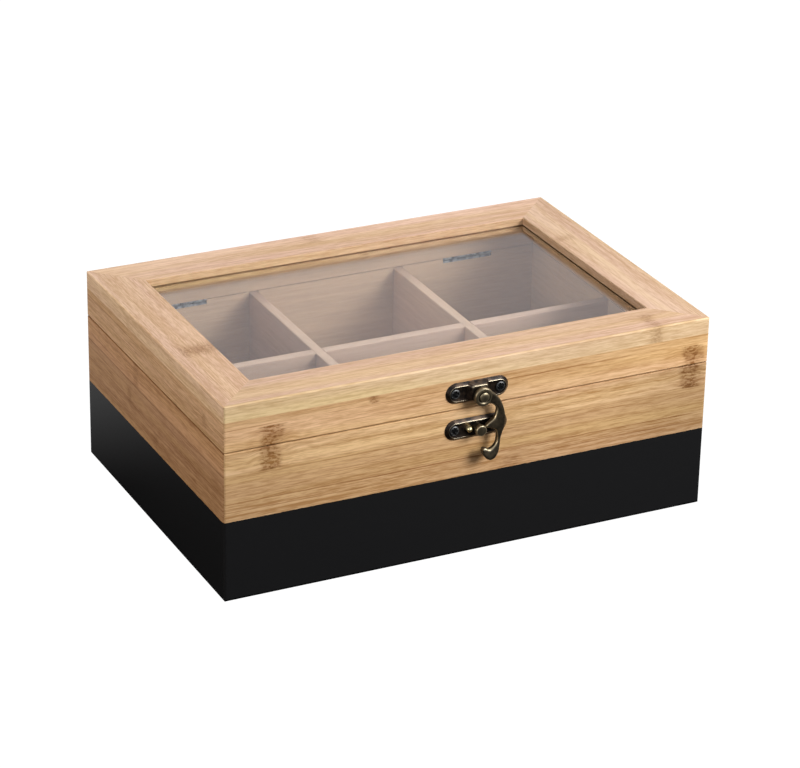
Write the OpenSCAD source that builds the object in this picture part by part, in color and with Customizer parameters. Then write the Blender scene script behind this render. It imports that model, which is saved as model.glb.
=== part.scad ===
// Organizer box for tea bags: six compartments under a hinged lid with a glass window,
// closed by a swinging hook on the front.
// X runs to the right, Y to the back and Z up. The origin is the centre of the underside.
// All sizes are in millimetres.

/* [Box] */
// Outside width
box_w = 280; // [220:1:360]
// Outside depth, front to back
box_d = 190; // [150:1:260]
// Outside height with the lid closed
box_h = 110; // [100:1:160]
// Thickness of the wall boards
wall_t = 9; // [8:0.5:14]
// Height up to which the outside is painted black
paint_h = 45.5; // [20:0.5:50]
// Rounding of the upright corners
corner_r = 1.5; // [0.5:0.1:3]
// Rounding of the edges that stand on the table
foot_r = 2; // [0.5:0.1:3]
// Easing of the edges where the lid meets the box
seam_r = 0.6; // [0.1:0.1:0.8]

/* [Compartments] */
// Thickness of the dividers
divider_t = 5.5; // [3:0.5:8]
// Clear width of the two middle compartments
middle_w = 83.5; // [60:0.5:110]
// Distance of the dividers' top edges below the rim
divider_drop = 0.5; // [0.5:0.5:20]
// Rounding of the dividers' top edges
divider_r = 0.6; // [0.2:0.1:1.2]
// Depth of the housings that hold the dividers in the walls
housing_depth = 2; // [1:0.5:4]
// Thickness of the bottom panel
bottom_t = 4; // [3:0.5:8]
// Width of the rebate under the walls that the bottom panel lies in
rebate_w = 5; // [3:0.5:6]

/* [Lid] */
// Height of the lid, rails included
lid_h = 26; // [25:1:40]
// Width of the rails round the window
rail_w = 25; // [18:0.5:40]
// Thickness of the rails
rail_t = 9; // [7.5:0.5:12]
// Rounding of the lid's top outer edge
rail_r = 0.8; // [0.2:0.1:2]
// Rounding of the rails' edge round the window
sight_r = 0.5; // [0.2:0.1:1]
// Thickness of the glass
glass_t = 2; // [1.5:0.5:3]
// Wood below the glass
glass_lip = 2.4; // [1.5:0.1:3]
// Depth of the groove that holds the glass
glass_groove = 5; // [3:0.5:8]

/* [Hinges] */
// Distance of each hinge's middle from the side of the box
hinge_inset = 51.5; // [35:0.5:65]
// Length of a hinge along its pin
hinge_l = 31; // [25:1:40]
// Height of a closed hinge, which is the depth of its mortise and the gap under the lid
hinge_h = 3.2; // [2.8:0.1:3.6]
// Thickness of a leaf
leaf_t = 1.2; // [0.8:0.1:1.3]
// Distance of a leaf's edge from the inner face of the wall
leaf_inset = 0.25; // [0:0.05:0.5]
// Radius of the hinge pin
pin_r = 0.8; // [0.5:0.1:1]
// Distance of the pin's axis from the back of the box
pin_inset = 1.25; // [1.2:0.05:1.35]
// Length of the middle knuckle, which belongs to the lid
knuckle_l = 15; // [8:1:18]
// Distance of a hinge screw from the hinge's middle
hinge_screw_x = 9; // [6:0.5:11]
// Length of a hinge screw
hinge_screw_l = 8; // [5:0.5:12]
// Radius of a hinge screw's shank
hinge_screw_r = 1; // [0.7:0.1:1.2]
// Radius of a hinge screw's countersunk head
hinge_head_r = 1.75; // [1.5:0.05:2]

/* [Latch] */
// Distance of the latch to the right of the box's middle
latch_x = 1.5; // [-40:0.5:40]
// Height of the upper plate's middle above the seam
latch_lift = 9.7; // [8:0.1:11]
// Distance between the middles of the two plates
plate_pitch = 20.8; // [19:0.1:24]
// Length of a plate
plate_l = 36; // [34:0.5:44]
// Width of a plate
plate_w = 11.6; // [11:0.1:13]
// Height of a plate's rim
plate_h = 1.7; // [1.2:0.1:2.2]
// Width of the slope outside a plate's rim
plate_slope = 1.5; // [0.8:0.1:1.7]
// Width of a plate's flat rim
rim_w = 0.3; // [0.2:0.05:0.6]
// Width of the slope inside a plate's rim
pocket_slope = 0.6; // [0.2:0.1:1]
// Thickness of a plate's sunk floor
plate_floor = 0.8; // [0.5:0.1:1]
// Distance of a plate's screws from its middle
plate_screw_x = 13; // [11.5:0.1:13]
// Radius of a plate screw's head
plate_head_r = 2.7; // [2:0.1:3]
// Height of a plate screw's head
plate_head_h = 1.3; // [0.8:0.1:2]
// Radius of a plate screw's shank
plate_screw_r = 1.1; // [0.8:0.1:1.3]
// How deep a plate screw goes into the wood
plate_screw_l = 6; // [4:0.5:7]
// Height of the block that carries the hook
block_h = 4; // [3:0.1:5]
// Width of the block's flat top
block_w = 8.6; // [8:0.1:10]
// Width of the ramp on each side of the block
block_ramp = 2.4; // [1:0.1:3]
// How far the block's top lies inside the plate's upper and lower edges
block_taper = 1.8; // [1:0.1:2.5]
// Distance of the pivot to the right of the plate's middle
pivot_x = 0.9; // [0:0.1:1.5]
// Distance of the pivot below the plate's middle
pivot_drop = 1.7; // [1:0.1:2]
// Radius of the hook's eye and of the boss under it
eye_r = 5.1; // [4.8:0.1:5.4]
// Thickness of the hook
hook_t = 3; // [2:0.1:4]
// How far the hook's tail is bent outwards
tail_flare = 2; // [0:0.1:4]
// Radius of the rivet's shank
rivet_r = 1.6; // [1.2:0.1:2]
// Radius of the rivet's head
rivet_head_r = 2.8; // [2.4:0.1:3.2]
// Height of the rivet's head
rivet_head_h = 0.9; // [0.6:0.1:1.5]
// Radius of the catch post's head
post_r = 3; // [2.6:0.1:3.1]
// Radius of the catch post's neck
post_neck_r = 2.5; // [2:0.1:2.5]
// Height of the flare under the catch post's head
post_flare = 0.5; // [0.3:0.1:1]
// Chamfer round the top of the catch post
post_chamfer = 0.4; // [0.2:0.1:0.8]
// Radius of the small bead beside the post
bead_r = 1.6; // [1:0.1:1.6]
// Distance of the bead from the post
bead_gap = 4.7; // [4.7:0.1:6]
// How far the bead stays below the hook
bead_drop = 0.3; // [0.2:0.1:0.8]

/* [Clearances] */
// Gap at each end of a divider in its housing
end_clear = 0.2; // [0.1:0.1:0.5]
// Gap on each side of a divider in a housing or a halving joint
side_clear = 0.1; // [0.05:0.05:0.3]
// Gap between the glass's edge and the bottom of its groove
groove_clear = 0.5; // [0.2:0.1:1]
// Gap between the bottom panel's edge and its rebate
rebate_clear = 0.2; // [0.1:0.1:0.5]
// Gap above the glass in its groove
glass_clear = 0.4; // [0.2:0.1:1]
// Gap between the closed lid and the box
seam_gap = 0.4; // [0:0.1:0.8]
// Radial gap of a turning fit
turn_clear = 0.05; // [0.02:0.01:0.08]
// Radial gap round a fixed pin, post or screw
fixed_clear = 0.03; // [0.02:0.01:0.05]
// Gap between knuckles, and between the barrel and the wood
knuckle_clear = 0.1; // [0.1:0.05:0.15]
// Gap under and over the hook at its pivot
hook_clear = 0.1; // [0.05:0.05:0.3]

/* [Hidden] */
$fn = 64;

wood = "#d6b184";
rail_wood = "#e2c39d";
divider_wood = "#dcc0a0";
paint = "#1d1c1c";
steel = "#8b9299";
bronze = "#3a3029";
brass = "#b8923f";
glass = [0.8, 0.88, 0.9, 0.35];

// Overshoot of a cut past the face that it opens
over = 1;
// Sides of the box, counted round from the front
front = 0;
right = 1;
back = 2;
left = 3;

seam_z = box_h - lid_h;
rail_z = box_h - rail_t;
divider_top = seam_z - divider_drop;
halving_z = (bottom_t + divider_top) / 2;
cross_x = (middle_w + divider_t) / 2;
cross_l = box_d - 2 * (wall_t - housing_depth + end_clear);
long_l = box_w - 2 * (wall_t - housing_depth + end_clear);
pane_z = rail_z + glass_lip;
pane_margin = rail_w - glass_groove + groove_clear;

hinge_x = box_w / 2 - hinge_inset;
// The pin lies half a closed hinge below the lid, and the barrel is a little slimmer
pin_y = box_d / 2 - pin_inset;
pin_z = seam_z + seam_gap - hinge_h / 2;
barrel_r = hinge_h / 2 - knuckle_clear;
leaf_edge = hinge_h / 2;
leaf_w = wall_t - pin_inset - leaf_inset;
// Chamfer that lets the lid's back edge swing down behind the rim
relief_w = pin_inset + knuckle_clear;
relief_h = leaf_edge - seam_gap - sqrt(pow(leaf_edge, 2) - pow(pin_inset, 2)) + knuckle_clear;

latch_z = seam_z + latch_lift;
catch_z = latch_z - plate_pitch;
hook_z = block_h + hook_clear;
post_h = hook_z + hook_t;
bead_h = hook_z - bead_drop;

// Edge of the hook, as distances to the right of and above its pivot, for plates 20.8 apart:
// down the back, round the tail, up the throat, round the beak and back to the eye
hook_pitch = 20.8;
hook_edge = [
  [1, 3], [4.3, 2.8], [8.1, -0.9], [10.1, -3.9], [11.6, -7.4], [12.6, -10.9], [13, -13.9],
  [12.9, -16.9], [12.3, -19.9], [11, -23], [10.1, -26.4], [9.6, -29.9], [8.9, -32.9],
  [7.1, -35.3], [4.6, -36.3], [2.1, -35.4], [0.1, -32.9], [-0.6, -30.6], [0.4, -29.2],
  [1.9, -29.3], [4.1, -30.3], [6.1, -29.3], [7.9, -27.4], [8.5, -24.9], [8.3, -22.4],
  [7.4, -20.1], [5.4, -18.9], [2.6, -18], [1.7, -17.2], [2.1, -16.4], [4.1, -14.9],
  [6.4, -13.4], [7.4, -10.9], [7.9, -7.9], [6.1, -6], [4.4, -4.6], [1, -3]
];
hook_bend = -25;

// Point a share t of the way from b to c on a smooth curve through a, b, c and d
function curve(a, b, c, d, t) =
  b + 0.5 * t * (c - a + t * (2 * a - 5 * b + 4 * c - d + t * (3 * (b - c) + d - a)));

// Closed smooth curve through the points p, with n steps from each point to the next
function smooth_loop(p, n) =
  let (k = len(p))
  [for (i = [0:k - 1], j = [0:n - 1])
    curve(p[(i + k - 1) % k], p[i], p[(i + 1) % k], p[(i + 2) % k], j / n)];

// Places a drawing made for the front face, seen square on, on one side of the box
module on_side(side) {
  reach = (side % 2 == 0 ? box_d : box_w) / 2;
  rotate([0, 0, 90 * side]) translate([0, -reach, 0]) children();
}

// Places a part drawn flat, with Z as its height, on the front face
module on_front(x, z) {
  translate([x, -box_d / 2, z]) rotate([90, 0, 0]) children();
}

// Runs a cross-section, drawn as depth and height, along X
module run(length) {
  rotate([90, 0, 90]) linear_extrude(length, center = true) children();
}

// What a rounding takes off a corner at the origin, with the material up and to the right
module round_off(r) {
  difference() {
    translate([-over, -over]) square(r + over);
    translate([r, r]) circle(r);
  }
}

// Board along one side of the box with mitred ends; its cross-section is drawn from the
// outer face inwards
module mitred_board(side, width) {
  length = side % 2 == 0 ? box_w : box_d;
  outer = length / 2 + over;
  inner = length / 2 - width - over;
  on_side(side) difference() {
    intersection() {
      run(length + 2 * over) children();
      linear_extrude(box_h + over) polygon([
        [-outer, -over], [outer, -over], [inner, width + over], [-inner, width + over]
      ]);
    }
    for (end = [0, 1]) mirror([end, 0, 0]) translate([-length / 2, 0, -over])
      linear_extrude(box_h + 2 * over) round_off(corner_r);
  }
}

// Two finishes on one board: paint below the line and bare wood above it
module two_tone() {
  reach = box_w + box_d;
  color(paint) intersection() {
    children();
    translate([-reach / 2, -reach / 2, -over]) cube([reach, reach, paint_h + over]);
  }
  color(wood) intersection() {
    children();
    translate([-reach / 2, -reach / 2, paint_h]) cube([reach, reach, box_h]);
  }
}

module wall_section() {
  difference() {
    square([wall_t, seam_z]);
    round_off(foot_r);
    translate([0, seam_z]) mirror([0, 1]) round_off(seam_r);
    translate([wall_t - rebate_w, -over]) square([rebate_w + over, bottom_t + over]);
  }
}

module lid_wall_section() {
  translate([0, seam_z + seam_gap]) difference() {
    square([wall_t, rail_z - seam_z - seam_gap]);
    round_off(seam_r);
  }
}

module rail_section() {
  translate([0, rail_z]) difference() {
    square([rail_w, rail_t]);
    translate([0, rail_t]) mirror([0, 1]) round_off(rail_r);
    translate([rail_w, rail_t]) rotate(180) round_off(sight_r);
    translate([rail_w - glass_groove, glass_lip])
      square([glass_groove + over, glass_t + glass_clear]);
  }
}

// Upright slots in a wall's inner face for the ends of the dividers at the given places
module housings(side, places) {
  on_side(side) for (x = places)
    translate([x - divider_t / 2 - side_clear, wall_t - housing_depth, bottom_t])
      cube([divider_t + 2 * side_clear, housing_depth + over, seam_z]);
}

module back_relief() {
  translate([0, box_d / 2, seam_z]) run(box_w + 2 * over) polygon([
    [-relief_w, 0], [0, -relief_h], [over, -relief_h], [over, over], [-relief_w, over]
  ]);
}

module at_hinges() {
  for (s = [-1, 1]) translate([s * hinge_x, pin_y, pin_z]) children();
}

// Holes for hinge screws, drawn at the pin, pointing down for the box and up for the lid
module hinge_screw_holes(way) {
  at_hinges() hinge_screws_at(way, fixed_clear);
}

module hinge_screws_at(way, grow) {
  leaf_face = leaf_edge - leaf_t;
  for (s = [-1, 1])
    translate([s * hinge_screw_x, -(leaf_edge + leaf_w) / 2, way * leaf_face])
      mirror([0, 0, way < 0 ? 1 : 0]) countersunk_screw(grow);
}

// Screw pointing up, its flat head at the origin
module countersunk_screw(grow) {
  head_h = hinge_head_r - hinge_screw_r;
  translate([0, 0, -grow]) {
    cylinder(r1 = hinge_head_r + grow, r2 = hinge_screw_r + grow, h = head_h);
    cylinder(r = hinge_screw_r + grow, h = hinge_screw_l + 2 * grow);
  }
}

// Holes that a plate's screws make in the wood behind it
module plate_screw_holes(z) {
  for (s = [-1, 1]) on_front(latch_x + s * plate_screw_x, z)
    translate([0, 0, -plate_screw_l - fixed_clear])
      cylinder(r = plate_screw_r + fixed_clear, h = plate_screw_l + over);
}

module front_wall() {
  two_tone() difference() {
    mitred_board(front, wall_t) wall_section();
    housings(front, [-cross_x, cross_x]);
    plate_screw_holes(catch_z);
  }
}

module back_wall() {
  two_tone() difference() {
    mitred_board(back, wall_t) wall_section();
    housings(back, [-cross_x, cross_x]);
    back_relief();
    at_hinges() translate([-hinge_l / 2 - knuckle_clear, -wall_t, -hinge_h / 2])
      cube([hinge_l + 2 * knuckle_clear, 2 * wall_t, hinge_h + over]);
    hinge_screw_holes(-1);
  }
}

module side_wall(side) {
  two_tone() difference() {
    mitred_board(side, wall_t) wall_section();
    housings(side, [0]);
    back_relief();
  }
}

module bottom_panel() {
  margin = wall_t - rebate_w + rebate_clear;
  color(divider_wood)
    translate([margin - box_w / 2, margin - box_d / 2, 0])
      cube([box_w - 2 * margin, box_d - 2 * margin, bottom_t]);
}

// Divider along X, centred, with eased top edges
module divider(length) {
  run(length) translate([-divider_t / 2, bottom_t]) difference() {
    square([divider_t, divider_top - bottom_t]);
    for (s = [0, 1]) translate([s * divider_t, divider_top - bottom_t])
      mirror([s, 0]) mirror([0, 1]) round_off(divider_r);
  }
}

// Notch of a halving joint, open at the top or at the bottom
module halving_notch(from) {
  width = divider_t + 2 * side_clear;
  translate([-width / 2, -divider_t, from]) cube([width, 2 * divider_t, seam_z]);
}

module long_divider() {
  color(divider_wood) difference() {
    divider(long_l);
    for (s = [-1, 1]) translate([s * cross_x, 0, 0]) halving_notch(halving_z);
  }
}

module cross_divider(s) {
  color(divider_wood) translate([s * cross_x, 0, 0]) rotate([0, 0, 90]) difference() {
    divider(cross_l);
    halving_notch(halving_z - seam_z);
  }
}

// Leaf seen from its end, on the lower side of the pin: the flat and the root of a knuckle
module leaf_section(with_root) {
  root = barrel_r / 8;
  polygon(with_root
    ? [[-leaf_w, -leaf_edge], [-leaf_edge, -leaf_edge], [-root, -barrel_r],
       [-root, leaf_t - leaf_edge], [-leaf_w, leaf_t - leaf_edge]]
    : [[-leaf_w, -leaf_edge], [-leaf_edge, -leaf_edge],
       [-leaf_edge, leaf_t - leaf_edge], [-leaf_w, leaf_t - leaf_edge]]);
}

// Knuckle along X with its root, on the lower side of the pin
module knuckle(length) {
  run(length) leaf_section(true);
  rotate([0, 90, 0]) cylinder(r = barrel_r, h = length, center = true);
}

module hinge_bore(clear) {
  rotate([0, 90, 0])
    cylinder(r = pin_r + clear, h = hinge_l + 2 * over, center = true);
}

module hinge_base_leaf(s) {
  outer_l = (hinge_l - knuckle_l) / 2 - knuckle_clear;
  color(steel) translate([s * hinge_x, pin_y, pin_z]) difference() {
    union() {
      run(hinge_l) leaf_section(false);
      for (e = [-1, 1]) translate([e * (hinge_l - outer_l) / 2, 0, 0]) knuckle(outer_l);
    }
    hinge_bore(fixed_clear);
    hinge_screws_at(-1, fixed_clear);
  }
}

module hinge_lid_leaf(s) {
  color(steel) translate([s * hinge_x, pin_y, pin_z]) difference() {
    mirror([0, 0, 1]) {
      run(hinge_l) leaf_section(false);
      knuckle(knuckle_l - 2 * knuckle_clear);
    }
    hinge_bore(turn_clear);
    hinge_screws_at(1, fixed_clear);
  }
}

module hinge_pin(s) {
  color(steel) translate([s * hinge_x, pin_y, pin_z]) rotate([0, 90, 0])
    cylinder(r = pin_r, h = hinge_l, center = true);
}

module hinge_screws(way) {
  color(steel) at_hinges() hinge_screws_at(way, 0);
}

module lid_wall(side) {
  color(wood) difference() {
    mitred_board(side, wall_t) lid_wall_section();
    if (side == front) plate_screw_holes(latch_z);
    if (side == back) hinge_screw_holes(1);
  }
}

module lid_rail(side) {
  color(rail_wood) mitred_board(side, rail_w) rail_section();
}

module window_pane() {
  color(glass) translate([pane_margin - box_w / 2, pane_margin - box_d / 2, pane_z])
    cube([box_w - 2 * pane_margin, box_d - 2 * pane_margin, glass_t]);
}

// Flat pill with sloping edges, lying along X
module pill(length, width, height, slope) {
  r = width / 2;
  straight = length - width;
  for (s = [-1, 1]) translate([s * straight / 2, 0, 0])
    cylinder(r1 = r, r2 = r - slope, h = height);
  run(straight) polygon([[-r, 0], [r, 0], [r - slope, height], [slope - r, height]]);
}

// Stamped plate: a sloped rim round a sunk floor, with a hole for each screw
module plate() {
  sink = plate_h - plate_floor;
  inset = plate_slope + rim_w + pocket_slope;
  difference() {
    pill(plate_l, plate_w, plate_h, plate_slope);
    translate([0, 0, plate_floor])
      pill(plate_l - 2 * inset, plate_w - 2 * inset, sink + over,
        -pocket_slope * (sink + over) / sink);
    for (s = [-1, 1]) translate([s * plate_screw_x, 0, -over])
      cylinder(r = plate_screw_r + fixed_clear, h = plate_h + 2 * over);
  }
}

// Raised block across a plate with a round boss under the hook's eye
module block() {
  half = block_w / 2;
  wide = plate_w / 2;
  intersection() {
    rotate([90, 0, 0]) linear_extrude(plate_w, center = true) polygon([
      [-half - block_ramp, 0], [half + block_ramp, 0], [half + block_ramp, plate_floor],
      [half, block_h], [-half, block_h], [-half - block_ramp, plate_floor]
    ]);
    run(plate_l) polygon([
      [-wide, 0], [wide, 0], [wide - block_taper, block_h], [block_taper - wide, block_h]
    ]);
  }
  translate([pivot_x, -pivot_drop, 0]) cylinder(r = eye_r, h = block_h);
}

module latch_plate() {
  color(bronze) on_front(latch_x, latch_z) difference() {
    union() {
      plate();
      block();
    }
    translate([pivot_x, -pivot_drop, -over])
      cylinder(r = rivet_r + fixed_clear, h = block_h + 2 * over);
  }
}

module catch_plate() {
  color(bronze) on_front(latch_x, catch_z) difference() {
    plate();
    translate([0, 0, -over])
      cylinder(r = post_neck_r + fixed_clear, h = plate_h + 2 * over);
    translate([-bead_gap, 0, -over])
      cylinder(r = bead_r / 2 + fixed_clear, h = plate_h + 2 * over);
  }
}

// Cross-section of a pin with a low domed head, turned about the upright axis
module domed_pin(shank_r, head_r, head_z, head_h) {
  dome_r = (pow(head_r, 2) + pow(head_h / 2, 2)) / head_h;
  rotate_extrude() {
    square([shank_r, head_z]);
    translate([0, head_z]) square([head_r, head_h / 2]);
    intersection() {
      translate([0, head_z + head_h - dome_r]) circle(dome_r);
      translate([0, head_z + head_h / 2]) square([head_r, head_h]);
    }
  }
}

module catch_post() {
  color(bronze) on_front(latch_x, catch_z) rotate_extrude() polygon([
    [0, 0], [post_neck_r, 0], [post_neck_r, hook_z], [post_r, hook_z + post_flare],
    [post_r, post_h - post_chamfer], [post_r - post_chamfer, post_h], [0, post_h]
  ]);
}

module catch_bead() {
  color(brass) on_front(latch_x - bead_gap, catch_z)
    domed_pin(bead_r / 2, bead_r, plate_floor, bead_h - plate_floor);
}

// Cross-headed screw standing on a plate's sunk floor, its shank in the wood
module plate_screws(z) {
  slot = plate_head_r * 1.2;
  slot_w = plate_head_r * 0.25;
  color(bronze) for (s = [-1, 1]) on_front(latch_x + s * plate_screw_x, z) difference() {
    translate([0, 0, -plate_screw_l])
      domed_pin(plate_screw_r, plate_head_r, plate_screw_l + plate_floor, plate_head_h);
    for (turn = [0, 90]) rotate(turn) translate([-slot / 2, -slot_w / 2, plate_h])
      cube([slot, slot_w, plate_head_h]);
  }
}

module latch_rivet() {
  color(bronze) on_front(latch_x + pivot_x, latch_z - pivot_drop)
    domed_pin(rivet_r, rivet_head_r, hook_z + hook_t + hook_clear, rivet_head_h);
}

module latch_hook() {
  size = plate_pitch / hook_pitch;
  bend = hook_bend * size;
  tail = 14 * size;
  color(bronze) on_front(latch_x + pivot_x, latch_z - pivot_drop) difference() {
    union() {
      intersection() {
        linear_extrude(hook_z + hook_t + tail_flare + over)
          polygon(smooth_loop(hook_edge * size, 4));
        run(60 * size) translate([0, hook_z]) polygon([
          [eye_r, 0], [eye_r, hook_t], [bend, hook_t], [bend - tail, hook_t + tail_flare],
          [bend - tail, tail_flare], [bend, 0]
        ]);
      }
      translate([0, 0, hook_z]) cylinder(r = eye_r, h = hook_t);
    }
    cylinder(r = rivet_r + turn_clear, h = hook_z + hook_t + over);
  }
}

front_wall();
side_wall(right);  // right_wall
back_wall();
side_wall(left);  // left_wall
bottom_panel();
long_divider();
cross_divider(-1);  // cross_divider_left
cross_divider(1);  // cross_divider_right
hinge_base_leaf(-1);  // hinge_base_leaf_left
hinge_base_leaf(1);  // hinge_base_leaf_right
hinge_pin(-1);  // hinge_pin_left
hinge_pin(1);  // hinge_pin_right
hinge_screws(-1);  // hinge_base_screws
catch_plate();
catch_post();
catch_bead();
plate_screws(catch_z);  // catch_screws
lid_wall(front);  // lid_front_wall
lid_wall(right);  // lid_right_wall
lid_wall(back);  // lid_back_wall
lid_wall(left);  // lid_left_wall
lid_rail(front);  // lid_front_rail
lid_rail(right);  // lid_right_rail
lid_rail(back);  // lid_back_rail
lid_rail(left);  // lid_left_rail
window_pane();
hinge_lid_leaf(-1);  // hinge_lid_leaf_left
hinge_lid_leaf(1);  // hinge_lid_leaf_right
hinge_screws(1);  // hinge_lid_screws
latch_plate();
latch_rivet();
plate_screws(latch_z);  // latch_screws
latch_hook();
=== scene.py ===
"""A wooden tea bag organizer box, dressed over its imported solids.

The frame holds every board, hinge and latch part where it was built. This script gives each of
them its finish, makes the small metal pieces again with the rounded edges, cross recesses and
sweeps that the plain solids lack, and sets the box on a pale floor in soft light.

All lengths in the classes are millimetres; meshes are written in metres.
"""

import logging
import math
from dataclasses import dataclass
from enum import Enum
from typing import Optional, Sequence, Union

import bmesh
import bpy
import numpy as np
from mathutils import Matrix, Vector


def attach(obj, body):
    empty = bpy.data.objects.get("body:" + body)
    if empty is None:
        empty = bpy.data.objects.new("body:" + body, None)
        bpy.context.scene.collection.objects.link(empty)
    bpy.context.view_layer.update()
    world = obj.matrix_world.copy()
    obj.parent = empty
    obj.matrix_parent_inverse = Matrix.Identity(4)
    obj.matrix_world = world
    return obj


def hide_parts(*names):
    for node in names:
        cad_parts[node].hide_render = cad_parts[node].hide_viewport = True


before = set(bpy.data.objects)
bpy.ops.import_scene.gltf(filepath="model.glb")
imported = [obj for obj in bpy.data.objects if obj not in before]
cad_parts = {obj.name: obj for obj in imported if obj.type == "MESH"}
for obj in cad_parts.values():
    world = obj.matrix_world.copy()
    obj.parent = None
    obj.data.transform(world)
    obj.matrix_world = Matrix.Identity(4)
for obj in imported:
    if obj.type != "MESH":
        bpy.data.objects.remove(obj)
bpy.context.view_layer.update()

LOG = logging.getLogger("tea_box")
MM = 0.001
SEAM = 84.2
INNER = (132.0, 87.0)

Colour = tuple[float, float, float]
Input = Union[bpy.types.NodeSocket, float, Colour]


class Axis(Enum):
    """Direction that the fibres of a board run in."""

    X = 0
    Y = 1
    Z = 2


class Body(Enum):
    """Rigid bodies of the frame that pieces ride on."""

    BASE = "base"
    LID = "lid"
    HOOK = "hook"


# Shader helpers


class Shade:
    """Short hand for making shader nodes and joining them."""

    def __init__(self, tree: bpy.types.NodeTree) -> None:
        """Starts with an empty tree.

        Args:
            tree: the node tree to fill.
        """
        self.tree = tree
        tree.nodes.clear()

    def node(self, kind: str, inputs: Optional[dict] = None, **settings: object) -> bpy.types.Node:
        """Adds a node.

        Args:
            kind: Blender's name of the node type.
            inputs: socket name or number to a value or to another node's socket.
            settings: properties of the node.

        Returns:
            The new node.
        """
        made = self.tree.nodes.new(kind)
        for key, value in settings.items():
            setattr(made, key, value)
        for key, value in (inputs or {}).items():
            socket = made.inputs[key]
            if isinstance(value, bpy.types.NodeSocket):
                self.tree.links.new(value, socket)
            elif isinstance(value, tuple) and len(value) == 3 and socket.type == "RGBA":
                socket.default_value = (*value, 1.0)
            else:
                socket.default_value = value
        return made

    def math(self, operation: str, a: Input, b: Input = 0.0, clamp: bool = False) -> Input:
        """Adds one arithmetic step and returns its socket."""
        made = self.node("ShaderNodeMath", {0: a, 1: b}, operation=operation, use_clamp=clamp)
        return made.outputs[0]

    def step(self, value: Input, low: float, high: float, to_low: float = 0.0,
             to_high: float = 1.0) -> Input:
        """Rises smoothly from to_low at low to to_high at high, and returns its socket."""
        made = self.node(
            "ShaderNodeMapRange",
            {"Value": value, "From Min": low, "From Max": high, "To Min": to_low,
             "To Max": to_high},
            interpolation_type="SMOOTHSTEP")
        return made.outputs["Result"]

    def mix(self, share: Input, a: Input, b: Input, blend: str = "MIX") -> Input:
        """Mixes two colours and returns the result's socket."""
        made = self.node("ShaderNodeMix", {}, data_type="RGBA", blend_type=blend)
        for socket, value in ((made.inputs[0], share), (made.inputs[6], a), (made.inputs[7], b)):
            if isinstance(value, bpy.types.NodeSocket):
                self.tree.links.new(value, socket)
            elif isinstance(value, tuple):
                socket.default_value = (*value, 1.0)
            else:
                socket.default_value = value
        return made.outputs[2]

    def stretch(self, vector: Input, scale: Colour, shift: Colour = (0.0, 0.0, 0.0)) -> Input:
        """Moves and scales a coordinate and returns its socket."""
        made = self.node("ShaderNodeMapping", {"Vector": vector, "Location": shift,
                                               "Scale": scale})
        return made.outputs["Vector"]

    def noise(self, vector: Input, detail: float = 2.0, roughness: float = 0.5,
              distortion: float = 0.0) -> Input:
        """Adds cloudy noise, one feature to a unit, and returns its factor's socket."""
        made = self.node("ShaderNodeTexNoise",
                         {"Vector": vector, "Scale": 1.0, "Detail": detail,
                          "Roughness": roughness, "Distortion": distortion})
        return made.outputs["Fac"]

    def straight(self) -> Input:
        """Tells rays seen by the camera, directly or straight through glass, from all others."""
        path = self.node("ShaderNodeLightPath").outputs
        bounced = self.math("ADD", path["Diffuse Depth"], path["Glossy Depth"])
        through = self.math("MULTIPLY", path["Is Transmission Ray"],
                            self.math("LESS_THAN", bounced, 0.5))
        return self.math("MAXIMUM", path["Is Camera Ray"], through)

    def bump(self, height: Input, depth: float, normal: Optional[Input] = None) -> Input:
        """Turns a height into a bent normal, depth metres deep, and returns its socket."""
        inputs = {"Height": height, "Strength": 1.0, "Distance": depth}
        if normal is not None:
            inputs["Normal"] = normal
        return self.node("ShaderNodeBump", inputs).outputs["Normal"]


def new_material(name: str) -> tuple[bpy.types.Material, Shade]:
    """Makes an empty material.

    Args:
        name: the material's name.

    Returns:
        The material and the helper for its node tree.
    """
    material = bpy.data.materials.new(name)
    material.use_nodes = True
    return material, Shade(material.node_tree)


# Finishes


@dataclass(frozen=True)
class Knuckle:
    """A bamboo node: the speckled brown band where the cane had a joint, in millimetres.

    It lies at a place along the board and reaches between two heights across it. Skin is how far
    from the box's middle plane the mark begins, where it must not show on the inside.
    """

    along: float
    low: float
    high: float
    width: float = 6.0
    depth: float = 1.0
    skin: float = 0.0


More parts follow.
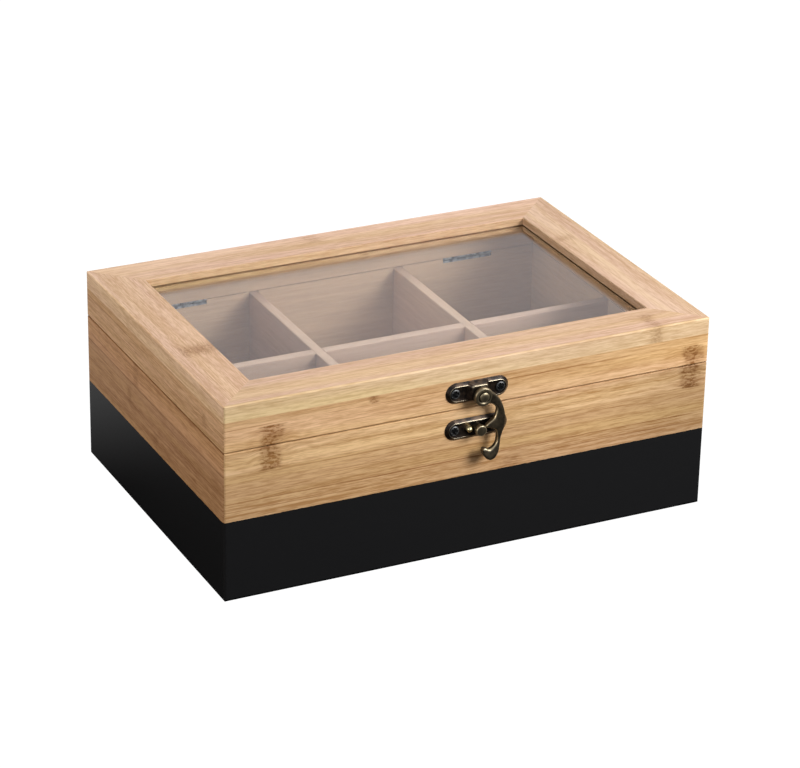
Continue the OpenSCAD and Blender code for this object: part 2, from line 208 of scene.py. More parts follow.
@dataclass(frozen=True)
class Bamboo:
    """Strips of bamboo glued side by side, with the fibres running along the board."""

    name: str
    grain: Axis
    across: Axis
    pale: Colour = (0.785, 0.512, 0.272)
    dark: Colour = (0.45, 0.237, 0.088)
    # tints of the bands across the board; most follow glued strips, some are painted light, shade
    # and reflection
    strips: tuple[tuple[float, float | Colour], ...] = ((-200.0, 1.0),)
    lines: tuple[tuple[float, float], ...] = ()
    knuckles: tuple[Knuckle, ...] = ()
    shift: float = 0.0
    contrast: float = 1.2
    # painted light and shade towards each end of the board: the tint at the low end and at the
    # high end
    end_shade: tuple[float, float] = (1.0, 1.0)
    painted_to: float = 0.0
    inner: Optional[tuple[float, float]] = None
    seam: float = 0.0
    # strength of the painted shade along the seam; weaker on the front boards
    seam_shade: float = 0.9
    sallow: Colour = (1.0, 1.005, 0.925)
    rosy: Colour = (1.0, 0.985, 1.045)
    roughness: float = 0.56
    ior: float = 1.37
    grain_depth: float = 0.06
    # the unfinished inside, darkened below the wood's own colour as painted shade
    inner_shaded_wood: Colour = (0.56, 0.39, 0.265)
    paint: Colour = (0.0077, 0.0077, 0.0082)
    paint_roughness: float = 0.42

    def order(self) -> tuple[int, int, int]:
        """Returns the row axes that run along, across and through the board."""
        rest = ({0, 1, 2} - {self.grain.value, self.across.value}).pop()
        return self.grain.value, self.across.value, rest

    def scales(self, along: float, across: float, through: float) -> Colour:
        """Returns a scale for each row axis from features per metre along, across, through."""
        out = [0.0, 0.0, 0.0]
        for axis, scale in zip(self.order(), (along, across, through)):
            out[axis] = scale
        return tuple(out)

    def tone(self, shade: Shade, across: Input) -> Input:
        """Tints the bands across the board: the strips that it is glued from, and on some boards a
        face, an edge or a height band made lighter, darker and bluer as painted light, shade and
        reflection.

        Args:
            shade: the material's helper.
            across: the coordinate across the board, in metres.

        Returns:
            The socket of the tint, one to a strip.
        """
        low, high = -200.0 * MM, 200.0 * MM
        place = shade.node("ShaderNodeMapRange", {"Value": across, "From Min": low,
                                                  "From Max": high})
        ramp = shade.node("ShaderNodeValToRGB", {0: place.outputs[0]})
        ramp.color_ramp.interpolation = "CONSTANT"
        stops = ramp.color_ramp.elements
        stops.remove(stops[1])
        for number, (start, value) in enumerate(self.strips):
            spot = (start * MM - low) / (high - low)
            stop = stops[0] if number == 0 else stops.new(spot)
            stop.position = spot
            tint = value if isinstance(value, tuple) else (value, value, value)
            stop.color = (*(part / 2 for part in tint), 1.0)
        return shade.node("ShaderNodeVectorMath", {0: ramp.outputs[0], "Scale": 2.0},
                          operation="SCALE").outputs[0]

    def paint_end_shade(self, shade: Shade, along: Input) -> Input:
        """Paints light and shade along a board towards its low and its high end, and returns the
        tint's socket.
        """
        low = shade.step(along, -50.0 * MM, -140.0 * MM, 1.0, self.end_shade[0])
        high = shade.step(along, 60.0 * MM, 135.0 * MM, 1.0, self.end_shade[1])
        return shade.math("MULTIPLY", low, high)

    def knuckle_reach(self, shade: Shade, parts: bpy.types.Node,
                      mark: Knuckle) -> tuple[Input, Input]:
        """Measures a node mark.

        Args:
            shade: the material's helper.
            parts: the node that splits the coordinate.
            mark: the mark's place and size.

        Returns:
            Sockets of the signed distance from the mark along the board, and of how far the
            point lies inside the mark's strip.
        """
        grain, cross, through = self.order()
        off = shade.math("SUBTRACT", parts.outputs[grain], mark.along * MM)
        edge, across = 0.5 * MM, parts.outputs[cross]
        inside = shade.math(
            "MULTIPLY", shade.step(across, mark.low * MM - edge, mark.low * MM + edge),
            shade.step(across, mark.high * MM + edge, mark.high * MM - edge))
        if mark.skin:
            outer = shade.math("ABSOLUTE", parts.outputs[through])
            inside = shade.math("MULTIPLY", inside, shade.math(
                "GREATER_THAN", outer, mark.skin * MM))
        return off, inside

    def knuckle_mark(self, shade: Shade, place: Input, colour: Input, reach: tuple[Input, Input],
                     mark: Knuckle) -> Input:
        """Browns the wood at one node mark.

        A halo three times as wide as the mark holds short brown streaks, a paler patch lies
        beside it, and the core is a brown band with dark dashes, torn into fibres at its edges.

        Args:
            shade: the material's helper.
            place: the coordinate, in metres.
            colour: the wood's colour so far.
            reach: distance from the mark, and the mask of its strip.
            mark: the mark's place and size.

        Returns:
            The socket of the new colour.
        """
        off, inside = reach
        width = mark.width * MM
        cloud = shade.noise(shade.stretch(place, (130.0, 130.0, 130.0)), 2.0)
        torn = shade.noise(shade.stretch(place, self.scales(30.0, 1000.0, 900.0)), 2.0)
        ragged = shade.math("ADD", shade.math("MULTIPLY", shade.math(
            "SUBTRACT", cloud, 0.5), 1.1 * width), shade.math("MULTIPLY", shade.math(
                "SUBTRACT", torn, 0.5), 1.3 * width))
        near = shade.math("ABSOLUTE", shade.math("ADD", off, ragged))
        core = shade.step(near, width * 0.95, width * 0.2)
        halo = shade.step(near, width * 3.0, width * 0.4)
        dashes = shade.step(shade.noise(
            shade.stretch(place, self.scales(520.0, 1050.0, 900.0)), 2.0), 0.4, 0.6)
        dashes = shade.math("ADD", shade.math("MULTIPLY", dashes, 0.54), 0.46)
        streaks = shade.step(shade.noise(
            shade.stretch(place, self.scales(55.0, 800.0, 700.0)), 2.0), 0.42, 0.66)
        curls = shade.step(shade.noise(
            shade.stretch(place, self.scales(110.0, 330.0, 300.0)), 2.0, 0.5, 0.8), 0.44, 0.62)
        beside = shade.math("MULTIPLY", shade.step(off, width * 0.6, width * 1.4),
                            shade.step(off, width * 4.0, width * 2.2))
        share = shade.math("MULTIPLY", inside, mark.depth)
        soft = shade.math("MULTIPLY", shade.math("MULTIPLY", halo, streaks), share)
        light = shade.math("MULTIPLY", shade.math("MULTIPLY", beside, curls), share)
        dark = shade.math("MULTIPLY", shade.math("MULTIPLY", core, dashes), share)
        colour = shade.mix(shade.math("MULTIPLY", soft, 0.62), colour,
                           shade.mix(1.0, colour, (0.72, 0.62, 0.48), "MULTIPLY"))
        colour = shade.mix(shade.math("MULTIPLY", light, 0.7), colour,
                           shade.mix(1.0, colour, (1.12, 1.16, 1.22), "MULTIPLY"))
        return shade.mix(dark, colour,
                         shade.mix(1.0, colour, (0.42, 0.30, 0.18), "MULTIPLY"))

    def paint_seam_shade(self, shade: Shade, place: Input, height: Input, colour: Input) -> Input:
        """Darkens the eased edges on both sides of the seam in patches: painted shade, a dark line
        where lid and box meet.

        Args:
            shade: the material's helper.
            place: the coordinate, in metres.
            height: its height.
            colour: the wood's colour so far.

        Returns:
            The socket of the new colour.
        """
        off = shade.math("ABSOLUTE", shade.math("SUBTRACT", height, self.seam * MM))
        patchy = shade.noise(shade.stretch(place, (60.0, 60.0, 60.0)), 2.0)
        edge_mark = shade.math("MULTIPLY", shade.step(off, 0.85 * MM, 0.3 * MM),
                          shade.step(patchy, 0.25, 0.5, 0.6 * self.seam_shade, self.seam_shade))
        # the painted shade's colour along the seam
        return shade.mix(edge_mark, colour, shade.mix(1.0, colour, (0.58, 0.47, 0.34), "MULTIPLY"))

    def glue_lines(self, shade: Shade, place: Input, across: Input, colour: Input) -> Input:
        """Draws thin brown lines where strips meet, wandering a little and fading in places.

        Args:
            shade: the material's helper.
            place: the coordinate, in metres.
            across: the coordinate across the board.
            colour: the wood's colour so far.

        Returns:
            The socket of the new colour.
        """
        if not self.lines:
            return colour
        drift = shade.math("MULTIPLY", shade.math("SUBTRACT", shade.noise(
            shade.stretch(place, self.scales(5.0, 9.0, 9.0), (self.shift, 0.0, 0.0))), 0.5),
            2.2 * MM)
        fade = shade.step(shade.noise(
            shade.stretch(place, self.scales(9.0, 60.0, 10.0), (0.0, self.shift, 0.0)), 3.0),
            0.36, 0.6)
        total: Input = 0.0
        for height, strength in self.lines:
            off = shade.math("ABSOLUTE", shade.math("ADD", shade.math(
                "SUBTRACT", across, height * MM), drift))
            total = shade.math("MAXIMUM", total, shade.step(off, 0.42 * MM, 0.1 * MM, 0.0,
                                                            strength))
        return shade.mix(shade.math("MULTIPLY", total, fade), colour,
                         shade.mix(1.0, colour, (0.60, 0.47, 0.33), "MULTIPLY"))

    def figure(self, shade: Shade, place: Input) -> tuple[Input, Input]:
        """Works out how dark the grain is, and its relief.

        Four layers of noise stretched along the grain are added: broad bands, streaks one to
        two millimetres wide, single fibres, and thin veins where a fifth noise crosses its mean.

        Args:
            shade: the material's helper.
            place: the coordinate, in metres, bent round the node marks.

        Returns:
            Sockets of the darkness and of the relief.
        """
        own = (self.shift, self.shift * 0.7, self.shift * 1.3)
        bands = shade.noise(shade.stretch(place, self.scales(2.6, 70.0, 60.0), own), 2.0)
        streaks = shade.noise(shade.stretch(place, self.scales(12.0, 600.0, 500.0), own), 4.0,
                              0.72, 0.1)
        fibres = shade.noise(shade.stretch(place, self.scales(120.0, 1500.0, 1300.0), own), 2.0,
                             0.65)
        veins = shade.noise(shade.stretch(place, self.scales(5.0, 210.0, 160.0), own), 2.0, 0.5,
                            0.3)
        clouds = shade.noise(shade.stretch(place, self.scales(14.0, 40.0, 40.0), own), 2.0)
        veins = shade.step(shade.math("ABSOLUTE", shade.math("SUBTRACT", veins, 0.5)),
                           0.022, 0.0)
        depth = shade.math("MULTIPLY", shade.step(bands, 0.3, 0.7), 0.36)
        depth = shade.math("ADD", depth, shade.math(
            "MULTIPLY", shade.step(streaks, 0.38, 0.64), 0.40))
        depth = shade.math("ADD", depth, shade.math(
            "MULTIPLY", shade.step(fibres, 0.36, 0.66), 0.42))
        depth = shade.math("ADD", depth, shade.math(
            "MULTIPLY", shade.math("MULTIPLY", veins, shade.step(clouds, 0.45, 0.62)), 0.34))
        depth = shade.math("MULTIPLY", shade.math("SUBTRACT", depth, 0.56), self.contrast)
        depth = shade.math("ADD", depth, 0.42, clamp=True)
        relief = shade.math("ADD", shade.math("MULTIPLY", streaks, 0.5), fibres)
        return depth, relief

    def paint_mask(self, shade: Shade, parts: bpy.types.Node, place: Input) -> Input:
        """Says where the outside is painted: below a level line, and not on inner faces."""
        wobble = shade.math("MULTIPLY", shade.math("SUBTRACT", shade.noise(
            shade.stretch(place, (300.0, 300.0, 60.0)), 3.0), 0.5), 0.5 * MM)
        height = shade.math("ADD", parts.outputs[2], wobble)
        return shade.math("LESS_THAN", height, self.painted_to * MM)

    def inner_mask(self, shade: Shade, parts: bpy.types.Node) -> Input:
        """Says which faces look inwards: those nearer the middle than the given distances."""
        reach_x, reach_y = self.inner
        return shade.math(
            "MULTIPLY",
            shade.math("LESS_THAN", shade.math("ABSOLUTE", parts.outputs[0]), reach_x * MM),
            shade.math("LESS_THAN", shade.math("ABSOLUTE", parts.outputs[1]), reach_y * MM))

    def make(self) -> bpy.types.Material:
        """Builds the material.

        The colour runs from pale to dark with the grain's figure. Fibres bend round the node
        marks, which brown it; strips change its tone, glue lines part them, some bands carry
        painted light and shade, painted shade darkens the seam, painted light and shade fall
        towards each end, the inside is unfinished and darkened as painted shade, and paint covers
        the outside below its line.

        Returns:
            The material.
        """
        material, shade = new_material(self.name)
        place = shade.node("ShaderNodeTexCoord").outputs["Object"]
        parts = shade.node("ShaderNodeSeparateXYZ", {0: place})
        across = parts.outputs[self.order()[1]]
        reaches = [self.knuckle_reach(shade, parts, mark) for mark in self.knuckles]
        bent = place
        if self.knuckles:
            swirl = shade.math("SUBTRACT", shade.noise(
                shade.stretch(place, self.scales(60.0, 90.0, 90.0)), 1.0), 0.5)
            push: Input = 0.0
            for (off, inside), mark in zip(reaches, self.knuckles):
                near = shade.step(shade.math("ABSOLUTE", off), mark.width * 4.0 * MM, 0.0)
                push = shade.math("ADD", push, shade.math(
                    "MULTIPLY", shade.math("MULTIPLY", near, inside), 9.0 * mark.depth * MM))
            push = shade.math("MULTIPLY", push, swirl)
            move = shade.node("ShaderNodeCombineXYZ", {self.order()[1]: push}).outputs[0]
            bent = shade.node("ShaderNodeVectorMath", {0: place, 1: move},
                              operation="ADD").outputs[0]
        depth, relief = self.figure(shade, bent)
        colour = shade.mix(depth, self.pale, self.dark)
        hue = shade.noise(shade.stretch(place, self.scales(3.5, 75.0, 60.0), (
            0.0, self.shift, self.shift)), 2.0, 0.6)
        colour = shade.mix(1.0, colour, shade.mix(
            shade.step(hue, 0.3, 0.7), self.sallow, self.rosy), "MULTIPLY")
        for reach, mark in zip(reaches, self.knuckles):
            colour = self.knuckle_mark(shade, place, colour, reach, mark)
        colour = self.glue_lines(shade, place, across, colour)
        # painted shade along the seam
        if self.seam and self.seam_shade:
            colour = self.paint_seam_shade(shade, place, parts.outputs[2], colour)
        colour = shade.mix(1.0, colour, self.tone(shade, across), "MULTIPLY")
        # painted light and shade along the board, towards each end
        if self.end_shade != (1.0, 1.0):
            colour = shade.node("ShaderNodeVectorMath", {
                0: colour, "Scale": self.paint_end_shade(shade, parts.outputs[self.grain.value])},
                operation="SCALE").outputs[0]
        rough = shade.math("ADD", shade.math("MULTIPLY", relief, 0.11), self.roughness - 0.08)
        inside = self.inner_mask(shade, parts) if self.inner else None
        # inside faces take the unfinished wood, its colour darkened as painted shade
        if inside is not None:
            inner_wood = shade.mix(shade.math("MULTIPLY", depth, 0.35), self.inner_shaded_wood,
                             tuple(0.72 * part for part in self.inner_shaded_wood))
            colour = shade.mix(shade.math("MULTIPLY", inside, 0.85), colour, inner_wood)
        if self.painted_to:
            mask = self.paint_mask(shade, parts, place)
            if inside is not None:
                mask = shade.math("MULTIPLY", mask, shade.math("SUBTRACT", 1.0, inside))
            peel = shade.noise(shade.stretch(place, (700.0, 700.0, 700.0)), 2.0)
            relief = shade.math("ADD", shade.math(
                "MULTIPLY", relief, shade.math("SUBTRACT", 1.0, shade.math(
                    "MULTIPLY", mask, 0.85))), shade.math("MULTIPLY", peel, shade.math(
                        "MULTIPLY", mask, 0.25)))
            colour = shade.mix(mask, colour, self.paint)
            satin = shade.math("ADD", shade.math("MULTIPLY", peel, 0.06),
                               self.paint_roughness - 0.03)
            rough = shade.math("ADD", shade.math("MULTIPLY", rough, shade.math(
                "SUBTRACT", 1.0, mask)), shade.math("MULTIPLY", satin, mask))
        surface = shade.node("ShaderNodeBsdfPrincipled", {
            "Base Color": colour, "Roughness": rough, "IOR": self.ior,
            "Normal": shade.bump(relief, self.grain_depth * MM)})
        shade.node("ShaderNodeOutputMaterial", {"Surface": surface.outputs[0]})
        return material


@dataclass(frozen=True)
class Bronze:
    """Dark plating: near black in two tones, pale on edges that stand out: partly abraded plating,
    partly painted highlight.
    """

    name: str = "antique_bronze"
    dark: Colour = (0.016, 0.013, 0.012)
    brown: Colour = (0.075, 0.050, 0.033)
    # pale colour of abraded edges and of painted highlights
    bright: Colour = (0.66, 0.57, 0.40)
    roughness: float = 0.34
    patches: float = 260.0

    def make(self) -> bpy.types.Material:
        """Builds the material: two dark tones in clouds, and the pale edge colour where the
        per-vertex marking lies: abrasion and painted highlight.
        """
        material, shade = new_material(self.name)
        place = shade.node("ShaderNodeTexCoord").outputs["Object"]
        clouds = shade.noise(shade.stretch(place, (self.patches,) * 3), 3.0, 0.6)
        grit = shade.noise(shade.stretch(place, (2600.0, 2600.0, 2600.0)), 2.0)
        edge_mark = shade.node("ShaderNodeAttribute", {}, attribute_name="wear_and_highlight").outputs["Fac"]
        edge_mark = shade.math("MULTIPLY", edge_mark, shade.step(grit, 0.25, 0.6, 0.55, 1.0))
        colour = shade.mix(shade.step(clouds, 0.35, 0.7), self.dark, self.brown)
        # pale edges: abraded plating and painted highlight
        colour = shade.mix(edge_mark, colour, self.bright)
        rough = shade.math("ADD", shade.math("MULTIPLY", clouds, 0.18), self.roughness - 0.09)
        surface = shade.node("ShaderNodeBsdfPrincipled", {
            "Base Color": colour, "Metallic": 0.75, "Roughness": rough,
            "Normal": shade.bump(grit, 0.012 * MM)})
        shade.node("ShaderNodeOutputMaterial", {"Surface": surface.outputs[0]})
        return material


@dataclass(frozen=True)
class Metal:
    """Uncoated metal with the fine lines and clouds that rolling leaves; on the hinges the clouds
    are so dark that the pale steel between them shows as painted glints.
    """

    name: str
    base: Colour
    stain: Colour
    roughness: float
    metallic: float = 1.0
    patches: float = 420.0

    def make(self) -> bpy.types.Material:
        """Builds the material: fine lines along X over clouds of stain."""
        material, shade = new_material(self.name)
        place = shade.node("ShaderNodeTexCoord").outputs["Object"]
        lines = shade.noise(shade.stretch(place, (90.0, 2400.0, 2400.0)), 2.0)
        clouds = shade.noise(shade.stretch(place, (self.patches,) * 3), 3.0, 0.6)
        colour = shade.mix(shade.step(clouds, 0.38, 0.7), self.base, self.stain)
        rough = shade.math("ADD", shade.math("MULTIPLY", lines, 0.2), self.roughness - 0.1)
        surface = shade.node("ShaderNodeBsdfPrincipled", {
            "Base Color": colour, "Metallic": self.metallic, "Roughness": rough,
            "Normal": shade.bump(lines, 0.01 * MM)})
        shade.node("ShaderNodeOutputMaterial", {"Surface": surface.outputs[0]})
        return material


@dataclass(frozen=True)
class WindowGlass:
    """Clear float glass, very slightly wavy, that lets lamps shine through."""

    name: str = "window_glass"
    tint: Colour = (0.93, 0.95, 0.945)
    lamp_tint: Colour = (0.68, 0.69, 0.69)

    def make(self) -> bpy.types.Material:
        """Builds the material: smooth glass for sight, plain transparency for lamps."""
        material, shade = new_material(self.name)
        place = shade.node("ShaderNodeTexCoord").outputs["Object"]
        wave = shade.noise(shade.stretch(place, (18.0, 18.0, 18.0)), 1.0)
        glass = shade.node("ShaderNodeBsdfPrincipled", {
            "Base Color": self.tint, "Roughness": 0.0, "IOR": 1.5,
            "Transmission Weight": 1.0, "Normal": shade.bump(wave, 0.02 * MM)})
        clear = shade.node("ShaderNodeBsdfTransparent", {"Color": self.lamp_tint})
        lamp = shade.node("ShaderNodeLightPath").outputs["Is Shadow Ray"]
        both = shade.node("ShaderNodeMixShader", {0: lamp, 1: glass.outputs[0],
                                                  2: clear.outputs[0]})
        shade.node("ShaderNodeOutputMaterial", {"Surface": both.outputs[0]})
        return material


# Surfaces


def grid_faces(rows: int, columns: int) -> np.ndarray:
    """Joins a grid of points whose columns close on themselves into quads.

    Args:
        rows: number of rows.
        columns: points in a row.

    Returns:
        The quads' corners, one row each.
    """
    row, column = np.meshgrid(np.arange(rows - 1), np.arange(columns), indexing="ij")
    after = (column + 1) % columns
    quads = np.stack([row * columns + column, row * columns + after,
                      (row + 1) * columns + after, (row + 1) * columns + column], -1)
    return quads.reshape(-1, 4)


@dataclass
class Shell:
    """A closed surface: a grid of points, in millimetres, with a lid on its first and last row.

    One with a bore has no lids: its last row joins its first, as round a hole.
    """

    points: np.ndarray
    wear_and_highlight: np.ndarray
    bored: bool = False

    def parts(self, offset: int) -> tuple[np.ndarray, list, np.ndarray]:
        """Gives the shell's vertices, faces and wear.

        Args:
            offset: number of vertices in the mesh before these.

        Returns:
            Vertices, faces with their numbers moved by offset, and the wear of each vertex.
        """
        rows, columns = self.points.shape[:2]
        faces = (grid_faces(rows, columns) + offset).tolist()
        first = np.arange(columns) + offset
        last = first + (rows - 1) * columns
        if self.bored:
            closing = [last, np.roll(last, -1), np.roll(first, -1), first]
            faces += np.stack(closing, -1).tolist()
        else:
            faces += [first[::-1].tolist(), last.tolist()]
        wear_and_highlight = np.broadcast_to(self.wear_and_highlight, (rows, columns)).reshape(-1)
        return self.points.reshape(-1, 3), faces, wear_and_highlight


def on_front(points: np.ndarray, x: float, z: float, face_y: float = -95.0) -> np.ndarray:
    """Lays points drawn flat, with their third value as height, on the box's front face.

    The first value runs to the right, the second up and the third out of the face.

    Args:
        points: the points, in millimetres.
        x: distance of the drawing's origin to the right of the box's middle.
        z: height of the drawing's origin.
        face_y: place of the face.

    Returns:
        The points in the box's frame.
    """
    flat, up, out = np.moveaxis(points, -1, 0)
    return np.stack([flat + x, face_y - out, up + z], -1)


def make_piece(name: str, shells: Sequence[Shell], material: bpy.types.Material, body: Body,
               replaces: Sequence[str], sharp: float = 38.0) -> bpy.types.Object:
    """Makes one object of closed shells, with its wear attribute, and hands it to the frame.

    Args:
        name: the piece's name.
        shells: its shells, already in the box's frame, in millimetres.
        material: its finish.
        body: the body that it rides on.
        replaces: the solids that it stands for.
        sharp: angle between faces, in degrees, above which an edge stays sharp.

    Returns:
        The object.
    """
    vertices, faces, wear_and_highlight = [], [], []
    for shell in shells:
        points, polygons, edge_mark = shell.parts(sum(len(part) for part in vertices))
        vertices.append(points)
        faces += polygons
        wear_and_highlight.append(edge_mark)
    mesh = bpy.data.meshes.new(name)
    mesh.from_pydata(np.concatenate(vertices) * MM, [], faces)
    # per-vertex pale edge marking: abraded plating and painted highlights
    attribute = mesh.attributes.new("wear_and_highlight", "FLOAT", "POINT")
    attribute.data.foreach_set("value", np.concatenate(wear_and_highlight).astype(np.float32))
    tool = bmesh.new()
    tool.from_mesh(mesh)
    bmesh.ops.recalc_face_normals(tool, faces=tool.faces)
    tool.to_mesh(mesh)
    tool.free()
    mesh.polygons.foreach_set("use_smooth", np.ones(len(mesh.polygons), bool))
    mesh.set_sharp_from_angle(angle=math.radians(sharp))
    mesh.materials.append(material)
    piece = bpy.data.objects.new(name, mesh)
    bpy.context.scene.collection.objects.link(piece)
    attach(piece, body.value)
    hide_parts(*replaces)
    LOG.info("made %s: %d faces, rides on %s", name, len(mesh.polygons), body.value)
    return piece


def turned(profile: Sequence[tuple[float, float, float]], sides: int = 48) -> Shell:
    """Turns a profile round the upright axis.

    A point of the surface lies at the profile's radius, at each of evenly spaced angles, and at
    the profile's height.

    Args:
        profile: radius, height and wear of each point, from the top down.
        sides: number of angles.

    Returns:
        The shell, drawn flat with its height as third value.
    """
    radius, height, wear_and_highlight = np.array(profile, float).T
    angle = np.linspace(0.0, 2 * np.pi, sides, endpoint=False)
    points = np.stack([radius[:, None] * np.cos(angle), radius[:, None] * np.sin(angle),
                       np.broadcast_to(height[:, None], (len(radius), sides))], -1)
    return Shell(points, wear_and_highlight[:, None])


def lit_edge_share(angle: np.ndarray, low: float = 0.3) -> np.ndarray:
    """Gives the share of the edge marking at an angle: all of it where the edge looks up towards
    the light, low elsewhere; painted highlight.
    """
    return low + (1.0 - low) * np.clip(np.sin(angle) * 1.6, 0.0, 1.0)


def pill_rings(length: float, profile: Sequence[tuple[float, float, float]], width: float,
               sides: int = 96) -> Shell:
    """Carries a profile round a pill outline.

    Each ring is two half circles, their radius half the width less the profile's inset, whose
    centres stay half the straight length either side of the middle. Its pale edge marking shows
    most where the rim looks up towards the light, as painted highlight.

    Args:
        length: length of the outermost ring.
        profile: inset, height and wear of each ring, from the floor out and down.
        width: width of the outermost ring.
        sides: points in a ring.

    Returns:
        The shell, drawn flat with its height as third value.
    """
    inset, height, wear_and_highlight = np.array(profile, float).T
    angle = (np.arange(sides) + 0.5) * 2 * np.pi / sides
    shift = np.where(np.cos(angle) > 0, 1.0, -1.0) * (length - width) / 2
    radius = (width / 2 - inset)[:, None]
    points = np.stack([shift + radius * np.cos(angle), radius * np.sin(angle),
                       np.broadcast_to(height[:, None], (len(inset), sides))], -1)
    return Shell(points, wear_and_highlight[:, None] * lit_edge_share(angle))


def smooth_path(points: np.ndarray, steps: int) -> np.ndarray:
    """Draws a smooth curve through points.

    Between two points the curve is the cubic whose slope at each is half the way from the point
    before to the point after.

    Args:
        points: the points, one row each.
        steps: rows from each point to the next.

    Returns:
        The curve's rows, ending at the last point.
    """
    padded = np.vstack([2 * points[:1] - points[1:2], points, 2 * points[-1:] - points[-2:-1]])
    a, b, c, d = (padded[k:len(padded) - 3 + k, None] for k in range(4))
    t = (np.arange(steps) / steps)[None, :, None]
    curve = b + 0.5 * t * (c - a + t * (2 * a - 5 * b + 4 * c - d + t * (3 * (b - c) + d - a)))
    return np.vstack([curve.reshape(-1, points.shape[1]), points[-1:]])


# Sub-assemblies


def dress(name: str, material: bpy.types.Material) -> None:
    """Gives a carried-over solid its finish.

    Args:
        name: the solid's node.
        material: its finish.
    """
    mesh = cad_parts[name].data
    mesh.materials.clear()
    mesh.materials.append(material)
    LOG.info("dressed %s in %s", name, material.name)


@dataclass
class Case:
    """The box's body: four painted walls, a bottom and crossed dividers."""

    paint_height: float = 45.5
    glue_line: float = 71.0

    def dress(self) -> None:
        """Gives each board its own bamboo, so that no two show the same figure."""
        upper, lower = self.glue_line, 46.0
        common = {"painted_to": self.paint_height, "inner": INNER, "seam": SEAM}
        walls = (
            Bamboo("bamboo_front_wall", Axis.X, Axis.Z, shift=1.7, seam_shade=0.4,
                   end_shade=(0.91, 0.81), **common,
                   strips=((-200.0, 0.92), (56.0, (0.85, 0.83, 0.76)),
                           (upper, (1.03, 1.05, 1.09))),
                   lines=((51.0, 0.7), (55.8, 0.9), (63.0, 0.6), (upper - 0.6, 0.8)),
                   knuckles=(Knuckle(-115.0, upper, 84.5, 9.0), Knuckle(129.5, upper, 84.5, 8.5),
                             Knuckle(22.0, 45.0, 52.0, 8.0, 0.4))),
            Bamboo("bamboo_back_wall", Axis.X, Axis.Z, shift=5.1, **common,
                   strips=((-200.0, 0.95), (58.0, 0.9), (upper, 0.98)),
                   lines=((58.0, 0.8), (66.0, 0.5), (upper, 0.7)),
                   knuckles=(Knuckle(64.0, 58.0, upper, 6.0, 0.8, 90.0),
                             Knuckle(-82.0, upper, 84.5, 5.0, 0.9, 90.0))),
            Bamboo("bamboo_left_wall", Axis.Y, Axis.Z, (0.585, 0.325, 0.152),
                   (0.335, 0.155, 0.06), shift=9.3, **common,
                   # the bluer tints on this side stand partly for the sheen that it reflects:
                   # painted reflection
                   strips=((-200.0, 0.93), (lower, (0.91, 0.925, 0.97)),
                           (upper, (1.13, 1.15, 1.19))),
                   lines=((52.0, 0.6), (60.0, 0.8), (66.5, 0.5), (upper, 0.9)),
                   knuckles=(Knuckle(24.0, 71.5, 84.5, 5.0, 0.4),
                             Knuckle(33.0, 58.0, 66.0, 4.0, 0.4),
                             Knuckle(-5.0, 47.0, 56.0, 5.0, 0.3))),
            Bamboo("bamboo_right_wall", Axis.Y, Axis.Z, shift=13.9, **common,
                   strips=((-200.0, 0.95), (62.0, 0.9), (upper, 0.98)),
                   lines=((54.0, 0.7), (62.0, 0.8), (upper, 0.6)),
                   knuckles=(Knuckle(-38.0, upper, 84.5, 5.5, 0.8, 133.0),)),
        )
        for side, finish in zip(("front", "back", "left", "right"), walls):
            dress(f"{side}_wall", finish.make())
        pale, dark = (0.64, 0.45, 0.325), (0.53, 0.355, 0.245)
        even = {"sallow": (1.0, 0.99, 0.97)}
        dress("bottom_panel", Bamboo("bamboo_bottom", Axis.X, Axis.Y, pale, dark,
                                     shift=17.2, **even).make())
        dress("long_divider", Bamboo("bamboo_long_divider", Axis.X, Axis.Z,
                                     (0.61, 0.43, 0.305), dark, shift=21.4, **even).make())
        for number, side in enumerate(("left", "right")):
            dress(f"cross_divider_{side}", Bamboo(
                f"bamboo_cross_divider_{side}", Axis.Y, Axis.Z, pale, dark,
                shift=25.1 + 3.3 * number, **even).make())


